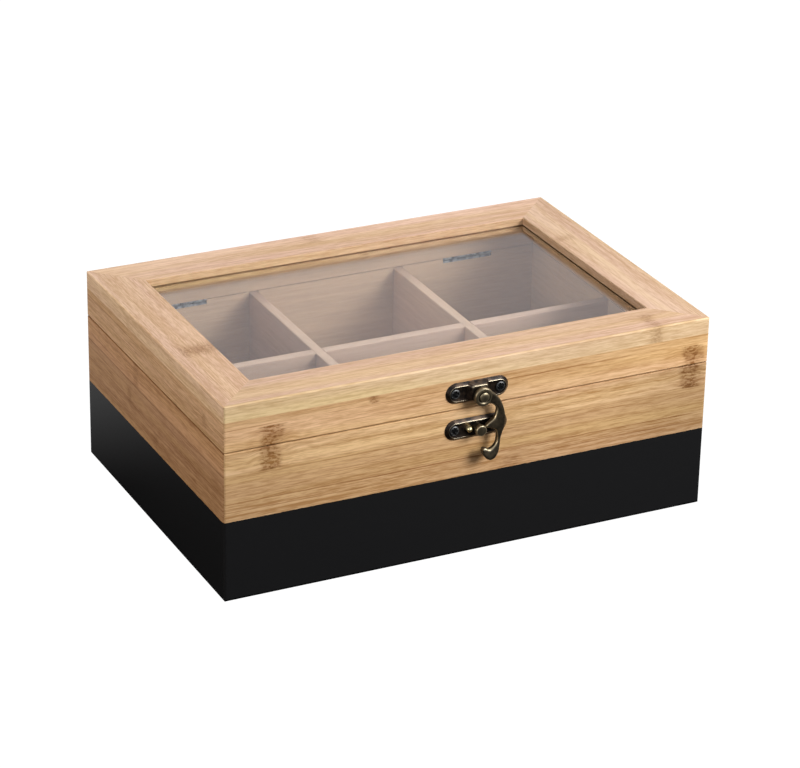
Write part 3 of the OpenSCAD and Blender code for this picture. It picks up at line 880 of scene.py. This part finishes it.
@dataclass
class Lid:
    """The lid: four walls under a mitred frame of rails that holds the glass."""

    glue_line: float = 96.5
    # how dark the sight edge round the window is made: painted shade
    sight_shade: float = 0.72

    def walls(self) -> None:
        """Gives each wall its bamboo."""
        upper = self.glue_line
        common = {"inner": INNER, "seam": SEAM}
        walls = (
            Bamboo("bamboo_lid_front", Axis.X, Axis.Z, shift=1.7, seam_shade=0.4, contrast=0.95,
                   end_shade=(0.93, 1.08), **common,
                   strips=((-200.0, (1.09, 1.10, 1.12)), (upper, 1.02)),
                   lines=((upper, 0.9), (100.6, 0.6)),
                   knuckles=(Knuckle(-113.0, 84.0, 95.5, 9.0), Knuckle(130.5, 84.0, 95.5, 8.5),
                             Knuckle(-57.0, 96.8, 101.0, 4.2, 0.9))),
            Bamboo("bamboo_lid_back", Axis.X, Axis.Z, shift=5.1, **common,
                   strips=((-200.0, 1.0), (upper, 0.94)), lines=((upper, 0.8),),
                   knuckles=(Knuckle(-82.0, 84.0, 96.0, 5.0, 0.9, 90.0),)),
            Bamboo("bamboo_lid_left", Axis.Y, Axis.Z, (0.76, 0.465, 0.24), (0.47, 0.25, 0.105),
                   shift=9.3, **common,
                   # the bluer tints on this side stand partly for the sheen that it reflects:
                   # painted reflection
                   strips=((-200.0, (1.02, 1.05, 1.12)), (upper, (1.04, 1.06, 1.1))),
                   lines=((91.0, 0.5), (upper, 0.7)),
                   knuckles=(Knuckle(-70.0, 88.0, 96.0, 4.0, 0.4),)),
            Bamboo("bamboo_lid_right", Axis.Y, Axis.Z, shift=13.9, **common,
                   strips=((-200.0, 0.98), (upper, 0.94)), lines=((upper, 0.8),),
                   knuckles=(Knuckle(-38.0, 84.0, 96.0, 5.5, 0.8, 133.0),)),
        )
        for side, finish in zip(("front", "back", "left", "right"), walls):
            dress(f"lid_{side}_wall", finish.make())

    def rails(self) -> None:
        """Gives each rail its bamboo, paler and finer than the walls'."""
        pale, dark = (0.83, 0.58, 0.39), (0.575, 0.355, 0.20)
        # the sight edge takes this darker tint: painted shade
        inner = tuple(self.sight_shade * part for part in (1.0, 0.97, 0.85))
        hues = {"sallow": (1.0, 1.01, 0.9), "rosy": (1.0, 0.98, 1.08)}
        rails = (
            Bamboo("bamboo_front_rail", Axis.X, Axis.Y, pale, dark, shift=29.9,
                   end_shade=(0.94, 1.03), **hues,
                   # the band from -94.95 is the rounded top edge, darkened as painted shade over
                   # its highlight
                   strips=((-200.0, (0.985, 1.04, 0.895)), (-94.95, 0.6),
                           (-94.2, (0.955, 0.945, 0.95)),
                           (-81.0, 0.95), (-70.3, inner)),
                   lines=((-81.0, 0.35),), knuckles=(Knuckle(108.0, -96.0, -78.0, 6.0, 0.5),)),
            Bamboo("bamboo_back_rail", Axis.X, Axis.Y, pale, dark, shift=33.3, **hues,
                   strips=((-200.0, inner), (70.3, (1.05, 1.05, 1.11)),
                           (83.0, (1.08, 1.08, 1.14))), lines=((83.0, 0.3),),
                   knuckles=(Knuckle(-9.0, 83.0, 93.0, 6.0, 0.3),)),
            Bamboo("bamboo_left_rail", Axis.Y, Axis.X, pale, dark, shift=37.7, contrast=1.35,
                   # the left face is tinted lighter than the top: painted light
                   strips=((-200.0, (1.18, 1.2, 1.14)), (-139.9, (1.0, 1.0, 1.04)),
                           (-131.5, (1.03, 1.03, 1.08)), (-115.3, inner)),
                   lines=((-131.5, 0.3),),
                   knuckles=(Knuckle(-25.0, -134.0, -114.0, 9.0, 0.62),)),
            Bamboo("bamboo_right_rail", Axis.Y, Axis.X, pale, dark, shift=41.1, **hues,
                   strips=((-200.0, inner), (115.3, (0.95, 0.965, 0.97)),
                           (128.0, (0.97, 0.985, 0.99))),
                   lines=((128.0, 0.3),), knuckles=(Knuckle(34.0, 116.0, 128.0, 6.0, 0.3),)),
        )
        for side, finish in zip(("front", "back", "left", "right"), rails):
            dress(f"lid_{side}_rail", finish.make())

    def dress(self) -> None:
        """Dresses the walls, the rails and the pane."""
        self.walls()
        self.rails()
        dress("window_pane", WindowGlass().make())


@dataclass
class CrossScrew:
    """A screw with a cross recess, drawn standing up, its head's seat at height zero."""

    head_radius: float = 2.7
    head_height: float = 1.3
    shank_radius: float = 1.1
    shank_length: float = 6.8
    recess_reach: float = 2.05
    recess_width: float = 0.75
    recess_depth: float = 1.0
    countersunk: bool = False

    def shell(self, turn: float = 0.0) -> Shell:
        """Draws the screw.

        Height over radius r and angle a is a shallow dome less the recess. The recess is as
        deep as it is told where the smaller of |x| and |y|, turned with the screw, is under
        half its width and the larger under its reach, with smooth sides.

        Args:
            turn: angle of the recess, in degrees.

        Returns:
            The shell, drawn flat with its height as third value.
        """
        sides = 96
        angle = np.linspace(0.0, 2 * np.pi, sides, endpoint=False)
        share = np.concatenate([[0.02], np.linspace(0.06, 0.94, 30), [0.975, 1.0]])
        radius = (share * self.head_radius)[:, None]
        dome = self.head_height * (1.0 if self.countersunk else 1.0 - 0.55 * share ** 2.4)
        height = np.broadcast_to(np.asarray(dome).reshape(-1, 1), (len(share), sides)) + 0.0
        x = np.abs(radius * np.cos(angle - math.radians(turn)))
        y = np.abs(radius * np.sin(angle - math.radians(turn)))
        thin, long = np.minimum(x, y), np.maximum(x, y)

        def fall(value: np.ndarray, low: float, high: float) -> np.ndarray:
            """Falls smoothly from one at low to nothing at high."""
            t = np.clip((high - value) / (high - low), 0.0, 1.0)
            return t * t * (3 - 2 * t)

        arms = fall(thin, self.recess_width * 0.7, self.recess_width * 1.5)
        cut = arms * fall(long, self.recess_reach * 0.75, self.recess_reach)
        height = height - self.recess_depth * cut
        rows = [np.stack([radius * np.cos(angle), radius * np.sin(angle), height], -1)]
        # the pale ring on the head is painted highlight
        ring = np.where((share > 0.72) & (share < 0.97), 0.6, 0.24)[:, None]
        wear_and_highlight = [ring * (1.0 - np.clip(cut * 3.0, 0.0, 1.0))]
        if self.countersunk:
            below = [(self.shank_radius, self.shank_radius - self.head_radius +
                      self.head_height)]
        else:
            below = [(self.head_radius, 0.0), (self.shank_radius, 0.0)]
        below += [(self.shank_radius, 1.0 - self.shank_length),
                  (0.1, -self.shank_length)]
        for r, h in below:
            rows.append(np.stack([r * np.cos(angle), r * np.sin(angle),
                                  np.full(sides, h)], -1)[None])
            wear_and_highlight.append(np.zeros((1, sides)))
        return Shell(np.concatenate(rows), np.concatenate(wear_and_highlight))


@dataclass
class Hinges:
    """Two butt hinges let into the rim, each of two leaves, a pin and four screws."""

    spread: float = 88.5
    screw_offset: float = 9.0
    pin_y: float = 93.75
    pin_z: float = 82.8
    leaf_face: float = 0.4
    leaf_middle: float = 4.55

    def screws(self, steel: bpy.types.Material, way: int, node: str, body: Body) -> None:
        """Makes the screws of one pair of leaves.

        Args:
            steel: their finish.
            way: 1 for screws that go up into the lid, -1 for screws down into the box.
            node: the solid that they stand for.
            body: the body that they ride on.
        """
        screw = CrossScrew(1.75, 0.0, 1.0, 7.9, 1.15, 0.22, 0.5, True)
        shells = []
        for side in (-1, 1):
            for end in (-1, 1):
                shell = screw.shell(24.0 + 31.0 * side + 17.0 * end)
                flat, deep, height = np.moveaxis(shell.points, -1, 0)
                shell.points = np.stack([
                    flat + side * self.spread + end * self.screw_offset,
                    self.pin_y - self.leaf_middle + deep * (1 if way < 0 else -1),
                    self.pin_z + way * self.leaf_face - way * height], -1)
                shells.append(shell)
        make_piece(f"{node}_piece", shells, steel, body, [node])

    def dress(self) -> None:
        """Dresses the leaves and pins in steel and makes the screws."""
        # strong dark stain on pale steel: the pale patches are painted glints
        steel = Metal("hinge_steel", (0.38, 0.42, 0.46), (0.045, 0.05, 0.06), 0.36, 0.6,
                      380.0).make()
        for side in ("left", "right"):
            for part in ("base_leaf", "lid_leaf", "pin"):
                dress(f"hinge_{part}_{side}", steel)
        self.screws(steel, -1, "hinge_base_screws", Body.BASE)
        self.screws(steel, 1, "hinge_lid_screws", Body.LID)


@dataclass
class Latch:
    """The hook latch: two stamped plates, a riveted hook, the post that it catches and a bead."""

    x: float = 1.5
    plate_z: float = 93.7
    catch_z: float = 72.9
    plate_length: float = 36.0
    plate_width: float = 11.6
    rim: float = 1.7
    floor: float = 0.8
    screw_offset: float = 13.0
    block_height: float = 4.0
    pivot: tuple[float, float] = (0.9, -1.7)
    eye_radius: float = 5.1
    hook_base: float = 4.1
    hook_thickness: float = 3.0
    bead_offset: float = 4.7

    def plate(self) -> Shell:
        """Draws a plate: from its sunk floor up to the rim, and down the outer slope."""
        profile = [(2.5, self.floor, 0.0), (2.2, self.floor + 0.1, 0.0),
                   (1.95, self.rim - 0.2, 0.0), (1.84, self.rim - 0.06, 0.3),
                   (1.74, self.rim, 1.0), (1.64, self.rim - 0.05, 0.3),
                   (1.5, self.rim - 0.16, 0.0), (0.6, 0.85, 0.0), (0.12, 0.3, 0.0),
                   (0.0, 0.2, 0.02), (0.0, 0.0, 0.0)]
        return pill_rings(self.plate_length, profile, self.plate_width)

    def block(self) -> list[Shell]:
        """Draws the raised block and its boss.

        The block's rings are superellipses, |x/a|^8 + |y/b|^8 = 1, whose half sides a and b
        shrink from its foot to its top; the boss is turned.

        Returns:
            The two shells.
        """
        sides = 96
        angle = np.linspace(0.0, 2 * np.pi, sides, endpoint=False)
        power = 2.0 / 8.0
        round_x = np.sign(np.cos(angle)) * np.abs(np.cos(angle)) ** power
        round_y = np.sign(np.sin(angle)) * np.abs(np.sin(angle)) ** power
        rings = np.array([
            (3.6, 3.3, self.block_height, 0.0), (4.05, 3.75, self.block_height - 0.03, 0.3),
            (4.3, 3.98, self.block_height - 0.12, 0.75),
            (4.45, 4.1, self.block_height - 0.32, 0.45), (4.8, 4.25, 3.2, 0.0),
            (6.5, 5.15, 1.2, 0.0), (6.7, 5.4, 0.8, 0.0), (6.7, 5.4, 0.05, 0.0)])
        half_x, half_y, height, wear_and_highlight = rings.T[:, :, None]
        # only the block's top edge, facing the light, is marked pale: painted highlight
        wear_and_highlight = wear_and_highlight * lit_edge_share(angle, 0.0)
        points = np.stack([half_x * round_x, half_y * round_y,
                           np.broadcast_to(height, (len(rings), sides))], -1)
        boss = turned([(0.2, self.block_height - 0.02, 0.0), (4.6, self.block_height - 0.02, 0.0),
                       (4.95, self.block_height - 0.12, 0.4),
                       (self.eye_radius, self.block_height - 0.4, 0.3),
                       (self.eye_radius, 0.0, 0.0), (0.2, 0.0, 0.0)], 72)
        boss.points[..., 0] += self.pivot[0]
        boss.points[..., 1] += self.pivot[1]
        return [Shell(points, wear_and_highlight), boss]

    def hook(self) -> list[Shell]:
        """Draws the hook.

        Its body is a rounded band carried down between an outer and an inner edge: a smooth
        curve through pairs of points, from the eye down the back, out to the beak and on to the
        tail. It starts beside the rivet's shank, which stays clear of it. Across the band the
        surface runs flat and drops over rounded edges; along it the tail bends outwards. The eye
        is turned and bored, with a groove round the rivet.

        Returns:
            The shells, drawn about the pivot.
        """
        pairs = np.array([
            (2.6, 3.3, 1.4, -4.0), (4.4, 2.7, 2.8, -4.2), (8.1, -0.9, 4.5, -4.7),
            (10.1, -3.9, 6.3, -5.9), (11.6, -7.4, 7.9, -7.9), (12.6, -10.9, 7.4, -10.9),
            (12.95, -13.2, 6.4, -13.2), (13.0, -14.6, 4.1, -14.9), (13.0, -15.6, 2.2, -16.3),
            (12.95, -16.5, 1.75, -17.1), (12.8, -17.4, 2.6, -17.9), (12.6, -18.6, 5.4, -18.9),
            (12.2, -20.1, 7.4, -20.1), (11.1, -22.8, 8.3, -22.4), (10.2, -26.0, 8.5, -24.9),
            (9.7, -29.6, 7.9, -27.4), (8.9, -32.8, 6.1, -29.3), (7.1, -35.3, 4.3, -30.2),
            (4.6, -36.3, 3.1, -30.0), (2.2, -35.4, 2.0, -29.4), (0.3, -33.1, 1.2, -29.2),
            (-0.5, -30.9, 0.5, -29.4)])
        path = smooth_path(pairs, 7)
        outer, inner = path[:, None, :2], path[:, None, 2:]
        width = np.linalg.norm(outer - inner, axis=-1, keepdims=True)
        thick = self.hook_thickness
        section = np.array([
            (0.0, 0.45, 0.0), (0.0, thick - 1.15, 0.0), (0.05, thick - 0.85, 0.35),
            (0.22, thick - 0.55, 1.0), (0.5, thick - 0.32, 0.45), (0.95, thick - 0.14, 0.0),
            (1.5, thick - 0.03, 0.0), (2.1, thick, 0.0)])
        section = np.vstack([[(0.35, 0.0, 0.0)], section])
        share = section[None, :, :1] / np.maximum(width, 2.25 * section[-1, 0])
        near = inner + (outer - inner) * share
        far = (outer + (inner - outer) * share)[:, ::-1]
        flat = np.concatenate([near, far], 1)
        height = np.concatenate([section[:, 1], section[::-1, 1]])
        # the pale marking is full on the inner edge, which faces the light, and weak on the outer:
        # abrasion and painted highlight
        wear_and_highlight = np.concatenate([section[:, 2], section[::-1, 2] * 0.3])
        down = np.clip((-25.0 - flat[..., 1]) / 11.3, 0.0, 1.0)
        lift = 1.6 * down * (0.55 + 0.45 * down)
        points = np.concatenate([flat, (self.hook_base + height + lift)[..., None]], -1)
        top = self.hook_base + thick
        eye = turned([
            (1.66, top - 0.5, 0.0), (2.9, top - 0.5, 0.0), (3.3, top - 0.12, 0.15),
            (3.7, top + 0.05, 0.3), (4.3, top + 0.05, 0.12), (4.8, top - 0.1, 0.35),
            (self.eye_radius, top - 0.45, 0.25), (self.eye_radius, self.hook_base + 0.3, 0.0),
            (4.8, self.hook_base, 0.0), (1.66, self.hook_base, 0.0)], 72)
        eye.bored = True
        return [Shell(points, wear_and_highlight[None, :]), eye]

    def place(self, shells: Sequence[Shell], x: float, z: float) -> list[Shell]:
        """Lays shells on the front face and returns them."""
        for shell in shells:
            shell.points = on_front(shell.points, x, z)
        return list(shells)

    def screws(self, turns: tuple[float, float]) -> list[Shell]:
        """Draws the two screws of a plate, each with its recess at its own angle."""
        shells = []
        for side, turn in zip((-1, 1), turns):
            shell = CrossScrew().shell(turn)
            shell.points = shell.points + np.array([side * self.screw_offset, 0.0, self.floor])
            shells.append(shell)
        return shells

    def dress(self) -> None:
        """Makes every piece of the latch."""
        bronze = Bronze().make()
        arm = Bronze("bronze_hook", (0.047, 0.038, 0.025), (0.105, 0.083, 0.052),
                     (0.62, 0.51, 0.32)).make()
        blued = Bronze("blued_screws", (0.005, 0.005, 0.006), (0.016, 0.017, 0.018),
                       (0.13, 0.132, 0.13), 0.44).make()
        brass = Metal("bead_brass", (0.88, 0.79, 0.48), (0.76, 0.66, 0.36), 0.42, 1.0,
                      200.0).make()
        pivot_x, pivot_z = self.x + self.pivot[0], self.plate_z + self.pivot[1]
        make_piece("latch_plate_piece", self.place([self.plate(), *self.block()], self.x,
                                                   self.plate_z),
                   bronze, Body.LID, ["latch_plate"])
        make_piece("catch_plate_piece", self.place([self.plate()], self.x, self.catch_z),
                   bronze, Body.BASE, ["catch_plate"])
        make_piece("latch_screws_piece", self.place(self.screws((8.0, 35.0)), self.x,
                                                    self.plate_z),
                   blued, Body.LID, ["latch_screws"])
        make_piece("catch_screws_piece", self.place(self.screws((-12.0, 20.0)), self.x,
                                                    self.catch_z),
                   blued, Body.BASE, ["catch_screws"])
        make_piece("latch_hook_piece", self.place(self.hook(), pivot_x, pivot_z),
                   arm, Body.HOOK, ["latch_hook"], 50.0)
        top = self.hook_base + self.hook_thickness + 0.1
        rivet = turned([
            (0.1, top + 0.9, 0.1), (0.9, top + 0.88, 0.12), (1.7, top + 0.76, 0.2),
            (2.3, top + 0.55, 0.45), (2.68, top + 0.3, 0.3), (2.8, top + 0.1, 0.1),
            (2.8, top, 0.0), (1.6, top, 0.0), (1.6, 0.0, 0.0), (0.1, 0.0, 0.0)], 64)
        make_piece("latch_rivet_piece", self.place([rivet], pivot_x, pivot_z),
                   arm, Body.LID, ["latch_rivet"])
        post_top = self.hook_base + self.hook_thickness
        post = turned([
            (0.1, post_top, 0.05), (2.3, post_top - 0.02, 0.05), (2.7, post_top - 0.1, 0.7),
            (2.92, post_top - 0.3, 0.8), (3.0, post_top - 0.55, 0.2),
            (3.0, self.hook_base + 0.55, 0.1), (2.85, self.hook_base + 0.2, 0.0),
            (2.5, self.hook_base, 0.0), (2.5, 0.0, 0.0), (0.1, 0.0, 0.0)], 64)
        make_piece("catch_post_piece", self.place([post], self.x, self.catch_z),
                   arm, Body.BASE, ["catch_post"])
        bead = turned([
            (0.1, 3.8, 0.0), (0.6, 3.72, 0.0), (1.1, 3.4, 0.0), (1.45, 2.9, 0.0),
            (1.6, 2.3, 0.0), (1.6, self.floor + 0.1, 0.0), (1.4, self.floor, 0.0),
            (0.8, self.floor, 0.0), (0.8, 0.0, 0.0), (0.1, 0.0, 0.0)], 48)
        make_piece("catch_bead_piece", self.place([bead], self.x - self.bead_offset,
                                                  self.catch_z),
                   brass, Body.BASE, ["catch_bead"])


# Studio


@dataclass(frozen=True)
class Softbox:
    """A square lamp turned to what it lights."""

    name: str
    place: Colour
    aim: Colour
    side: float
    power: float
    colour: Colour = (1.0, 1.0, 1.0)

    def make(self) -> bpy.types.Object:
        """Makes the lamp, turned so that it faces its aim."""
        lamp = bpy.data.lights.new(self.name, "AREA")
        lamp.shape = "SQUARE"
        lamp.size = self.side
        lamp.energy = self.power
        lamp.color = self.colour
        made = bpy.data.objects.new(self.name, lamp)
        made.location = self.place
        way = Vector(self.aim) - Vector(self.place)
        made.rotation_euler = way.to_track_quat("-Z", "Y").to_euler()
        bpy.context.scene.collection.objects.link(made)
        LOG.info("made lamp %s", self.name)
        return made


@dataclass
class Studio:
    """Pale floor, soft light from above and the right, and the camera of the photograph."""

    focal: float = 144.58
    target: Colour = (0.058404, 0.108708, 0.0)
    azimuth: float = -26.393
    elevation: float = 24.771
    roll: float = 1.185
    distance: float = 1.8802
    sky: float = 0.30
    ground: float = 0.03
    mirrored: float = 0.66
    backdrop: float = 1.3
    paper: float = 1.08
    horizon: tuple[float, float] = (-0.12, 0.35)
    lit_from: float = 0.04
    lit_full: float = 0.26
    sheen: float = 0.6

    def camera(self) -> None:
        """Sets the camera: a point on a sphere round the target, turned to it and rolled."""
        azimuth, elevation = math.radians(self.azimuth), math.radians(self.elevation)
        roll = math.radians(self.roll)
        out = Vector((math.sin(azimuth) * math.cos(elevation),
                      -math.cos(azimuth) * math.cos(elevation), math.sin(elevation)))
        right = (-out).cross(Vector((0.0, 0.0, 1.0))).normalized()
        up = right.cross(-out)
        right, up = (math.cos(roll) * right + math.sin(roll) * up,
                     math.cos(roll) * up - math.sin(roll) * right)
        lens = bpy.data.cameras.new("camera")
        lens.lens = self.focal
        lens.sensor_width = 36.0
        lens.clip_end = 50.0
        made = bpy.data.objects.new("camera", lens)
        turn = Matrix((right, up, out)).transposed().to_4x4()
        made.matrix_world = Matrix.Translation(Vector(self.target) + out * self.distance) @ turn
        bpy.context.scene.collection.objects.link(made)
        bpy.context.scene.camera = made

    def floor(self) -> None:
        """Lays a large pale floor just under the box."""
        side = 14.0
        mesh = bpy.data.meshes.new("floor")
        mesh.from_pydata([(-side, -side, 0.0), (side, -side, 0.0), (side, side, 0.0),
                          (-side, side, 0.0)], [], [(0, 1, 2, 3)])
        material, shade = new_material("floor_paper")
        place = shade.node("ShaderNodeTexCoord").outputs["Object"]
        tooth = shade.noise(shade.stretch(place, (900.0, 900.0, 900.0)), 2.0)
        colour = shade.mix(tooth, (0.985, 0.985, 0.985), (1.0, 1.0, 1.0))
        depth = shade.node("ShaderNodeSeparateXYZ", {0: place}).outputs[1]
        # behind the box the floor glows for reflected rays: painted reflection of a lit floor in
        # the paint and the left wall
        back = shade.step(depth, self.lit_from, self.lit_full, 0.0, self.sheen)
        seen = shade.straight()
        glow = shade.node("ShaderNodeEmission", {
            "Color": colour, "Strength": shade.math("MAXIMUM", shade.math(
                "MULTIPLY", seen, self.paper), back)})
        shade.node("ShaderNodeOutputMaterial", {"Surface": glow.outputs[0]})
        mesh.materials.append(material)
        made = bpy.data.objects.new("floor", mesh)
        made.location = (0.0, 0.0, -0.0002)
        made.visible_diffuse = False
        bpy.context.scene.collection.objects.link(made)

    def world(self) -> None:
        """Fills the room with light that comes from above and hardly from below."""
        world = bpy.data.worlds.new("studio")
        bpy.context.scene.world = world
        world.use_nodes = True
        shade = Shade(world.node_tree)
        way = shade.node("ShaderNodeTexCoord").outputs["Generated"]
        height = shade.node("ShaderNodeSeparateXYZ", {0: way}).outputs[2]
        strength = shade.step(height, *self.horizon, self.ground, self.sky)
        path = shade.node("ShaderNodeLightPath")
        bright = shade.step(height, *self.horizon, self.ground, self.mirrored)
        strength = shade.math("MAXIMUM", strength, shade.math(
            "MULTIPLY", path.outputs["Is Glossy Ray"], bright))
        strength = shade.math("MAXIMUM", strength, shade.math(
            "MULTIPLY", shade.straight(), self.backdrop))
        light = shade.node("ShaderNodeBackground", {"Color": (0.975, 0.985, 1.05),
                                                    "Strength": strength})
        shade.node("ShaderNodeOutputWorld", {"Surface": light.outputs[0]})

    def build(self) -> None:
        """Sets up floor, light and camera."""
        self.camera()
        self.floor()
        self.world()
        Softbox("key", (0.76, -1.01, 0.75), (0.0, 0.0, 0.05), 0.64, 23.2).make()
        Softbox("top", (0.6, 0.25, 1.6), (0.0, 0.0, 0.05), 0.5, 5.5).make()
        Softbox("fill", (-1.6, -0.35, 0.55), (0.0, 0.0, 0.05), 0.8, 12.0,
                (1.0, 0.93, 0.86)).make()
        bpy.context.scene.view_settings.view_transform = "Standard"


def main() -> None:
    """Builds the studio and every sub-assembly, logging each as it is dressed."""
    logging.basicConfig(level=logging.INFO, format="%(name)s: %(message)s")
    Studio().build()
    for part in (Case(), Lid(), Hinges(), Latch()):
        LOG.info("dressing the %s", type(part).__name__.lower())
        part.dress()


if __name__ == "__main__":
    main()
